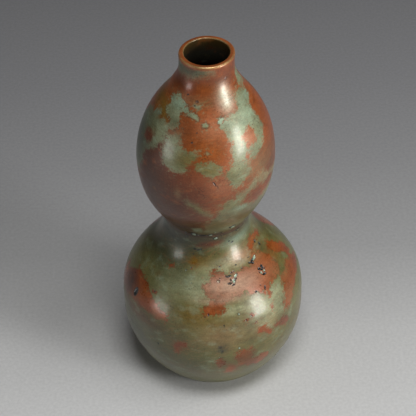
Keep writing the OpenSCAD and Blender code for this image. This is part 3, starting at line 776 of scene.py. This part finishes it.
def patchDepth(turns, alongs, radii, ring):
    # distance in mm to a patch's edge, positive inside
    centre = sum(p[0] for p in ring) / len(ring)
    px, py = radii * np.radians(turnFrom(turns, centre)), alongs
    cx = np.array([radiusAt(z) * radians(t - centre) for t, z in ring])
    cy = np.array([alongAt(z) for t, z in ring])
    least = np.full(px.shape, outOfReach)
    inside = np.zeros(px.shape, bool)
    for i in range(len(ring)):
        ax, ay, bx, by = cx[i - 1], cy[i - 1], cx[i], cy[i]
        ex, ey = bx - ax, by - ay
        t = np.clip(((px - ax) * ex + (py - ay) * ey) / (ex * ex + ey * ey + 1e-9), 0, 1)
        least = np.minimum(least, np.hypot(px - ax - t * ex, py - ay - t * ey))
        inside ^= ((ay > py) != (by > py)) & (px < ex * (py - ay) / (ey + 1e-12) + ax)
    return np.where(inside, least, -least)


def patinaFields(mesh, marks, patches, washes, wiped, ground, base):
    # What the patina reads at each vertex. Ground is the depth between the patches: below
    # zero it is green there, above zero copper. Base is the tint of each.
    points = meshPoints(mesh)
    z = points[:, 2]
    (turns, radii), alongs = turnsAndRadii(points), alongAt(z)
    depth = np.full(z.shape, ground, float)
    nearest = np.full(z.shape, outOfReach)
    soft, wander = np.full(z.shape, 0.5), np.ones(z.shape)
    for kind, softness, ring in patches:
        d = patchDepth(turns, alongs, radii, ring)
        closer = np.abs(d) < nearest
        nearest = np.where(closer, np.abs(d), nearest)
        soft = np.where(closer, softness, soft)
        share = min(1, max(wear["leastBorder"], d.max() / wear["wholeBorder"]))
        wander = np.where(closer, share, wander)
        depth = np.maximum(depth, d) if kind == "copper" else np.minimum(depth, -d)

    def spread(turn, height, across, up, strength):
        du = radii * np.radians(turnFrom(turns, turn)) / across
        dv = (alongs - alongAt(height)) / up
        return strength * np.exp(-(du * du + dv * dv))

    def tinted(name):
        return np.tile(hexColour(tint[name]), (len(z), 1))

    wash = {side: tinted(name) for side, name in base.items()}
    for side, rows in washes:
        for name, *place in rows:
            part = spread(*place)[:, None]
            for key in wash if side == "both" else (side,):
                wash[key] = wash[key] * (1 - part) + tinted(name) * part
    inside = (radii < radiusAt(z) - wear["insideFrom"] * wall) & (z < lipZ - wear["belowLip"])
    # the inside is a dark brown of its own; its darkening from the throat's brown to the hollow's
    # near black further down is painted shade in the bore
    down = smooth(lipZ - z, *wear["throat"])[:, None]
    hollow = tinted("throat") * (1 - down) + tinted("hollow") * down
    for key in wash:
        wash[key] = np.where(inside[:, None], hollow, wash[key])

    def rubbed(r, level, full, none):
        return 1 - smooth(np.hypot(radii - r, z - level), full, none)

    # gold along the edges: wear on the foot; on the lip and the mouth, wear with a painted
    # highlight, strongest where the edges face the camera
    front = 0.5 + 0.5 * np.cos(np.radians(turns - wear["front"]))
    lipIn, *lipReach = wear["lip"]
    mouthIn, *mouthReach = wear["mouth"]
    footIn, *footReach = wear["foot"]
    lipShare = wear["lipBack"] + (1 - wear["lipBack"]) * front ** 2
    mouthShare = wear["mouthBack"] - (wear["mouthBack"] - wear["mouthFront"]) * front
    wornAndGlint = np.maximum(lipShare * rubbed(neckR - lipIn, lipZ - lipIn, *lipReach),
                      mouthShare * rubbed(mouthR + mouthIn, lipZ - mouthIn, *mouthReach))
    wornAndGlint = np.maximum(wornAndGlint, wear["footShare"] * rubbed(footR - footIn, 0, *footReach))
    values = {
        "copperDepth": np.clip(depth, -wear["deepest"], wear["deepest"]),
        "edgeSoft": soft, "edgeWander": wander, "inside": inside.astype(float),
        "wiped": np.minimum(1, sum(spread(*place) for place in wiped)),
        "wornAndGlint": wornAndGlint, "matt": smooth(z, *wear["matt"]), **marks}
    for name, data in values.items():
        layer = mesh.attributes.new(name, "FLOAT", "POINT")
        layer.data.foreach_set("value", data.astype(np.float32))
    for side, data in wash.items():
        layer = mesh.attributes.new(side + "Wash", "FLOAT_COLOR", "POINT")
        layer.data.foreach_set("color", data.astype(np.float32).ravel())


def newMaterial(name):
    material = bpy.data.materials.new(name)
    material.use_nodes = True
    material.node_tree.nodes.clear()
    return material, material.node_tree


# What varies over the patina: feature size in mm, how far it is drawn out, detail, roughness,
# and the lowest and highest value that it gives. The rag's streaks rise to the right.
patinaGrains = {
    "borders": (6.5, 1, 4, 0.55, -2.3, 2.3),      # mm, how far a patch's border wanders
    "lobes": (2.6, 1, 3, 0.55, -1.1, 1.1),
    "crumbs": (1.3, 1, 3, 0.60, -0.8, 0.8),       # drawn twice as coarse as they are, to show
    "drag": (8.0, 7, 4, 0.60, -4.0, 4.0),         # streaks left by the rag
    "clouds": (17.0, 1, 3, 0.55, 0.80, 1.20),
    "mottle": (9.0, 1.6, 5, 0.60, 0.0, 1.0),
    "stain": (8.0, 1.5, 4, 0.65, 0.0, 1.0),
    "streaks": (7.0, 9, 4, 0.60, 0.87, 1.13),
    "grain": (1.0, 1, 2, 0.60, 0.83, 1.17),
    "flecks": (1.9, 1, 3, 0.60, 0.0, 1.0),
    "clusters": (11.0, 1, 2, 0.50, 0.0, 1.0),
    "specks": (1.05, 1, 1, 0.50, 0.0, 1.0),
}
dragTilt = 24                    # degrees
noiseSpan = (0.28, 0.72)         # what a noise node gives almost all of the time

# How those and the fields on the mesh become the finish, one row after another: the row's name,
# what is done, and the numbers or earlier names that it is done to. RANGE takes a value, two
# marks, and the level that it has at each.
patinaRows = [
    ("wander", "ADD", "borders", "lobes"),
    ("wander", "ADD", "wander", "crumbs"),
    ("wander", "MULTIPLY", "wander", "edgeWander"),
    ("depth", "ADD", "copperDepth", "wander"),
    ("depth", "MULTIPLY_ADD", "drag", "wiped", "depth"),
    ("underEdge", "MULTIPLY", "edgeSoft", -1.0),
    ("isCopper", "RANGE", "depth", "underEdge", "edgeSoft", 0.0, 1.0),
    # flecks of each colour strewn across the border
    ("away", "ABSOLUTE", "depth", 0.0),
    ("strewn", "RANGE", "away", 0.2, 5.0, 0.60, 0.12),
    ("fleck", "RANGE", "flecks", 0.62, 0.86, 0.0, 1.0),
    ("fleck", "MULTIPLY", "fleck", "strewn"),
    ("other", "MULTIPLY_ADD", "isCopper", -2.0, 1.0),
    ("isCopper", "MULTIPLY_ADD", "fleck", "other", "isCopper"),
    # where the green is thick and blooms, where it is thin and browns
    ("bloom", "RANGE", "mottle", 0.50, 1.0, 0.0, 0.26),
    ("brown", "RANGE", "stain", 0.50, 1.0, 0.0, 0.55),
    ("dull", "RANGE", "mottle", 0.50, 0.0, 0.0, 0.38),
    ("dark", "RANGE", "stain", 0.45, 0.0, 0.0, 0.45),
    ("bright", "RANGE", "mottle", 0.55, 1.0, 0.0, 0.30),
    # what the rag drew out over the copper, and wore off the green
    ("film", "RANGE", "drag", 0.2, 3.4, 0.0, 0.60),
    ("film", "MULTIPLY", "film", "wiped"),
    ("thin", "RANGE", "drag", -0.2, -3.4, 0.0, 0.60),
    ("thin", "MULTIPLY", "thin", "wiped"),
    # a fine dark line where crisp patches meet, and specks in clusters
    ("outer", "SUBTRACT", 1.0, "inside"),
    ("crisp", "RANGE", "edgeSoft", 0.7, 1.4, 0.36, 0.0),
    ("outline", "SUBTRACT", "depth", 0.3),
    ("outline", "ABSOLUTE", "outline", 0.0),
    ("outline", "RANGE", "outline", 0.15, 0.75, 1.0, 0.0),
    ("outline", "MULTIPLY", "outline", "crisp"),
    ("outline", "MULTIPLY", "outline", "outer"),
    ("specks", "RANGE", "specks", 0.76, 0.94, 0.0, 1.0),
    ("clusters", "RANGE", "clusters", 0.45, 0.85, 0.0, 0.50),
    ("specks", "MULTIPLY", "specks", "clusters"),
    ("specks", "MULTIPLY", "specks", "outer"),
    ("polish", "RANGE", "lobes", -0.7, 0.4, 0.55, 1.0),
    ("wornAndGlint", "MULTIPLY", "wornAndGlint", "polish"),
    # how light it is, how smooth and how metallic, and its relief
    ("lift", "MULTIPLY", "clouds", "grain"),
    ("lift", "MULTIPLY", "lift", "streaks"),
    ("rough", "RANGE", "isCopper", 0.0, 1.0, 0.37, 0.31),
    ("uneven", "RANGE", "mottle", 0.2, 0.8, -0.04, 0.05),
    ("rough", "ADD", "rough", "uneven"),
    ("rough", "MULTIPLY_ADD", "matt", 0.05, "rough"),
    ("bare", "RANGE", "isCopper", 0.0, 1.0, 0.10, 0.17),
    ("metallic", "RANGE", "wornAndGlint", 0.0, 1.0, "bare", 0.75),
    ("height", "MULTIPLY", "flecks", 0.5),
    ("height", "MULTIPLY_ADD", "isCopper", -0.5, "height"),
]
# Colours laid over the green or the copper, then over both, each by one of those rows.
patinaLayers = [
    ("green", "bloom", "#8fa38a"), ("green", "brown", "#5b4a26"), ("green", "dull", "#45452a"),
    ("green", "thin", "#7d5a38"), ("copper", "dark", "#512408"), ("copper", "bright", "#a65a26"),
    ("copper", "film", "#6f6846"),
]
patinaOverlays = [
    ("outline", "#39230f"), ("specks", "#2b1c10"), ("markPale", "#8fa28b"), ("markDark", "#1d2120"),
    # the gold of the rubbed edges, at the lip and the mouth also a painted highlight
    ("wornAndGlint", "#b99a66"),
]

# Wax over the patina, set on the shader
wax = {"Specular IOR Level": 0.43, "Coat Weight": 0.30, "Coat Roughness": 0.16}


def patinatedBronze():
    # Cast bronze, chased smooth, its patina grown in copper red and sage green and waxed:
    # a warm mottled colour with crisp borders under a soft wax gloss.
    material, tree = newMaterial("waxedPatinatedBronze")
    place = addNode(tree, "ShaderNodeTexCoord", out="Object")
    level = {}
    for name in ("copperDepth", "edgeSoft", "edgeWander", "inside", "wiped", "wornAndGlint", "matt",
                 "markDark", "markPale"):
        level[name] = addNode(tree, "ShaderNodeAttribute", out="Fac", attribute_name=name)
    for name, (size, stretch, detail, rough, low, high) in patinaGrains.items():
        spread = addNode(tree, "ShaderNodeMapping", {
            "Vector": place, "Rotation": (0, -radians(dragTilt) if name == "drag" else 0, 0),
            "Scale": (1, 1, 1 / stretch)}, vector_type="TEXTURE")
        grain = addNode(tree, "ShaderNodeTexNoise", {
            "Vector": spread, "Scale": 1 / (size * mm), "Detail": detail, "Roughness": rough})
        level[name] = addNode(tree, "ShaderNodeMapRange", {
            "Value": grain, "From Min": noiseSpan[0], "From Max": noiseSpan[1],
            "To Min": low, "To Max": high})
    for name, kind, *values in patinaRows:
        given = {i: level.get(value, value) for i, value in enumerate(values)}
        if kind == "RANGE":
            made = addNode(tree, "ShaderNodeMapRange", given, interpolation_type="SMOOTHSTEP")
        else:
            made = addNode(tree, "ShaderNodeMath", given, operation=kind)
        level[name] = made
    tone = {side: addNode(tree, "ShaderNodeAttribute", attribute_name=side + "Wash")
            for side in ("green", "copper")}
    # a Mix node of colours takes them at 6 and 7 and gives one at 2
    for side, share, colour in patinaLayers:
        tone[side] = addNode(tree, "ShaderNodeMix", {
            "Factor": level[share], 6: tone[side], 7: hexColour(colour)}, out=2, data_type="RGBA")
    surface = addNode(tree, "ShaderNodeMix", {
        "Factor": level["isCopper"], 6: tone["green"], 7: tone["copper"]}, out=2, data_type="RGBA")
    for share, colour in patinaOverlays:
        surface = addNode(tree, "ShaderNodeMix", {
            "Factor": level[share], 6: surface, 7: hexColour(colour)}, out=2, data_type="RGBA")
    coloured = addNode(tree, "ShaderNodeVectorMath", {
        0: surface, "Scale": level["lift"]}, operation="SCALE")
    relief = addNode(tree, "ShaderNodeBump", {
        "Strength": 0.30, "Distance": 0.12 * mm, "Height": level["height"]})
    shader = addNode(tree, "ShaderNodeBsdfPrincipled", {
        "Base Color": coloured, "Metallic": level["metallic"], "Roughness": level["rough"],
        "Normal": relief, **wax})
    addNode(tree, "ShaderNodeOutputMaterial", {"Surface": shader})
    return material


def workedMetal(name, colours, roughness, metallic, grain, ringGap=None):
    # a metal of two tones in patches of so many mm, with turned rings where it was turned
    material, tree = newMaterial(name)
    place = addNode(tree, "ShaderNodeTexCoord", out="Object")
    patches = addNode(tree, "ShaderNodeTexNoise", {
        "Vector": place, "Scale": 1 / (grain * mm), "Detail": 5.0, "Roughness": 0.65})
    share = addNode(tree, "ShaderNodeMapRange", {
        "Value": patches, "From Min": 0.32, "From Max": 0.68})
    tone = addNode(tree, "ShaderNodeMix", {
        "Factor": share, 6: hexColour(colours[0]), 7: hexColour(colours[1])},
        out=2, data_type="RGBA")
    gloss = addNode(tree, "ShaderNodeMapRange", {
        "Value": patches, "From Min": 0.3, "From Max": 0.7,
        "To Min": roughness - 0.06, "To Max": roughness + 0.08})
    height = patches
    if ringGap:
        ringsPerUnit = 3.2       # of the wave texture at a scale of 1
        height = addNode(tree, "ShaderNodeTexWave", {
            "Vector": place, "Scale": 1 / (ringGap * mm) / ringsPerUnit, "Distortion": 0.3,
            "Detail": 1.0}, out="Fac", wave_type="RINGS", rings_direction="Z")
    relief = addNode(tree, "ShaderNodeBump", {
        "Strength": 0.4, "Distance": 0.1 * mm, "Height": height})
    shader = addNode(tree, "ShaderNodeBsdfPrincipled", {
        "Base Color": tone, "Metallic": metallic, "Roughness": gloss, "Normal": relief})
    addNode(tree, "ShaderNodeOutputMaterial", {"Surface": shader})
    return material


bronze = patinatedBronze()
# Brass braze, filed flush and browned with the castings: a dull brown line with olive in it
brazeMetal = workedMetal("filedBrownedBraze", ("#241c10", "#4a4026"), 0.5, 0.2, 2.2)
# Bronze plate, turned and browned: dark, faintly metallic, its rings drawn 1 mm apart to show
plateMetal = workedMetal("turnedBrownedBronze", ("#33241a", "#5a4228"), 0.45, 0.55, 5.0, 1.0)
# Soft solder, wiped while hot and dulled since: matt grey, faintly pitted
solderMetal = workedMetal("wipedSoftSolder", ("#4b4943", "#77746b"), 0.55, 0.7, 1.6)
print("materials built")


def casting(name, node, loop, fine, marks, *patina):
    mesh = turnedMesh(name, loop, steps["around"], bronze)
    patinaFields(mesh, worked(mesh, marks, fine), *patina)
    leaned(mesh)
    finishedObject(name, mesh, "root", node)
    print(name, "turned,", sum(len(face.vertices) - 2 for face in mesh.polygons), "triangles")


# outside, socket, inside, opening in the floor, recess of the foot
lowerLoop = (
    lowerOutside
    + [(socketR, bandLow), (socketR, socketEndZ), (socketFoot, socketEndZ)]
    + lowerInside[::-1]
    + [(ledgeR, innerFloorZ), (ledgeR, recessDepth), (recessR, recessDepth), (recessR, 0)])
casting("lowerCasting", "lower_bulb", lowerLoop, lowerFine, lowerMarks,
        lowerPatches, lowerWashes, lowerWiped, -8, {"copper": "copper", "green": "olive"})

# outside, lip, bore, inside, spigot
upperLoop = (
    upperOutside + lip + mouth + upperInside
    + [(passageR, spigotEndZ), (spigotR, spigotEndZ), (spigotR, bandHigh)])
casting("upperCasting", "upper_bulb", upperLoop, upperFine, upperMarks,
        upperPatches, upperWashes, upperWiped, 8, {"copper": "copper", "green": "sage"})

# braze in the lap joint, with the band that shows
brazeLoop = [(spigotR, spigotEndZ), (socketR, spigotEndZ), (socketR, bandLow), (bandLowR, bandLow),
             (waistR, waistZ), (bandHighR, bandHigh), (spigotR, bandHigh)]
brazeMesh = turnedMesh("waistBraze", brazeLoop, steps["around"], brazeMetal)
leaned(brazeMesh)
finishedObject("waistBraze", brazeMesh, "root", "waist_braze")

# the plate, with a turner's centre mark and two shallow grooves in its face, in mm
plateFace = {
    "centre": 0.9, "centreDepth": 0.6, "axisHole": 0.001, "grooves": (9.0, 19.0),
    "grooveWidth": 0.7, "grooveDepth": 0.18, "rim": 2.6, "sharp": 14,
}
plateLoop = [(plateFace["axisHole"], plateZ + plateFace["centreDepth"]),
             (plateFace["centre"], plateZ)]
for middle in plateFace["grooves"]:
    plateLoop += [(middle - plateFace["grooveWidth"], plateZ),
                  (middle, plateZ + plateFace["grooveDepth"]),
                  (middle + plateFace["grooveWidth"], plateZ)]
plateLoop += [(plateR - plateFace["rim"], plateZ), (plateR, plateZ), (plateR, recessDepth),
              (plateFace["axisHole"], recessDepth)]
plateMesh = turnedMesh("footPlate", plateLoop, steps["plateAround"], plateMetal)
finishedObject("footPlate", plateMesh, "root", "base_plate", plateFace["sharp"])

# the solder's fillet, a little uneven where it was wiped: in mm, how long and how high its
# waves are, and how far they keep from the plate and from the wall
wipe = {"period": 4.0, "height": 0.22, "lift": 0.6, "fromPlate": 0.1, "fromWall": 0.05}
solderLoop = ([(plateR, recessDepth), (plateR, plateZ)]
              + arc(recessR - solderLeg, plateZ - solderLeg, solderLeg, 90, 0, steps["fillet"])
              + [(recessR, plateZ - solderLeg), (recessR, recessDepth)])
solderMesh = turnedMesh("footSolder", solderLoop, steps["around"], solderMetal)
points = meshPoints(solderMesh)
waves = np.array([noise.noise(Vector(p) / wipe["period"]) for p in points])
fillet = ((points[:, 2] < plateZ - wipe["fromPlate"])
          & (turnsAndRadii(points)[1] < recessR - wipe["fromWall"]))
points[:, 2] += np.where(fillet, wipe["height"] * (waves + wipe["lift"]), 0)
movePoints(solderMesh, points)
finishedObject("footSolder", solderMesh, "root", "base_solder")
print("braze, plate and solder done")

studio = {
    "floorSize": 6.0, "aim": (0, 0, 0.14),      # metres
    "ambient": 0.018,
    # floor colour from near to far, darker further back as painted fall-off of the light: metres
    # behind the vase, and what is painted there
    "floorFade": [(-0.067, "#d2d2d1"), (0.012, "#c9c9c8"), (0.10, "#aaaaaa"),
                  (0.20, "#9a9a9b"), (0.31, "#8f8f91"), (0.45, "#878789")],
    "fibre": 2.2, "fibreShade": (0.94, 1.06),   # mm, and what it does to that colour
}
# softboxes: turn right of the front and height in degrees, distance, width and height in metres
lamps = {
    "keyStrip": {"turn": 57, "rise": 3.5, "away": 1.6, "size": (0.42, 1.00), "radiance": 21},
    "frontTop": {"turn": 10, "rise": 68, "away": 1.3, "size": (0.50, 0.40), "radiance": 13.2},
    "rightTop": {"turn": 70, "rise": 62, "away": 1.3, "size": (0.50, 0.40), "radiance": 5.5},
    "leftPanel": {"turn": -65, "rise": 0, "away": 1.4, "size": (0.43, 0.40), "radiance": 6.2},
    "leftHigh": {"turn": -85, "rise": 39, "away": 1.4, "size": (0.40, 0.25), "radiance": 1.6},
}

for name, lamp in lamps.items():
    turn, rise = radians(lamp["turn"]), radians(lamp["rise"])
    way = Vector((cos(rise) * sin(turn), -cos(rise) * cos(turn), sin(rise)))
    light = bpy.data.lights.new(name, "AREA")
    light.shape = "RECTANGLE"
    light.size, light.size_y = lamp["size"]
    light.energy = lamp["radiance"] * pi * light.size * light.size_y
    facing = way.to_track_quat("Z", "Y").to_matrix().to_4x4()
    place = Matrix.Translation(Vector(studio["aim"]) + way * lamp["away"])
    placed(name, light).matrix_world = place @ facing

world = bpy.data.worlds.new("studio")
world.use_nodes = True
world.node_tree.nodes["Background"].inputs["Color"].default_value = (1, 1, 1, 1)
world.node_tree.nodes["Background"].inputs["Strength"].default_value = studio["ambient"]
bpy.context.scene.world = world

half = studio["floorSize"] / 2
floorMesh = bpy.data.meshes.new("floor")
floorMesh.from_pydata([(-half, -half, 0), (half, -half, 0), (half, half, 0), (-half, half, 0)],
                      [], [(0, 1, 2, 3)])
floor = placed("floor", floorMesh)
# Painted paper, matt: a plain grey, darkened away from the vase as painted fall-off of the light,
# with faint fibres drawn 2 mm across to show
paper, tree = newMaterial("paintedFloor")
place = addNode(tree, "ShaderNodeTexCoord", out="Object")
back = addNode(tree, "ShaderNodeSeparateXYZ", {0: place}, out="Y")
floorFade = studio["floorFade"]
near, far = floorFade[0][0], floorFade[-1][0]
share = addNode(tree, "ShaderNodeMapRange", {"Value": back, "From Min": near, "From Max": far})
fade = addNode(tree, "ShaderNodeValToRGB", {"Fac": share})
stops = fade.node.color_ramp.elements
for y, _ in floorFade[1:-1]:
    stops.new((y - near) / (far - near))
for stop, (_, colour) in zip(stops, floorFade):
    stop.color = hexColour(colour)
fibre = addNode(tree, "ShaderNodeTexNoise", {
    "Vector": place, "Scale": 1 / (studio["fibre"] * mm), "Detail": 3.0})
tooth = addNode(tree, "ShaderNodeMapRange", {
    "Value": fibre, "From Min": 0.3, "From Max": 0.7,
    "To Min": studio["fibreShade"][0], "To Max": studio["fibreShade"][1]})
shade = addNode(tree, "ShaderNodeVectorMath", {0: fade, "Scale": tooth}, operation="SCALE")
board = addNode(tree, "ShaderNodeBsdfPrincipled", {
    "Base Color": shade, "Roughness": 0.9, "Specular IOR Level": 0.2})
addNode(tree, "ShaderNodeOutputMaterial", {"Surface": board})
floorMesh.materials.append(paper)
print("studio lit")
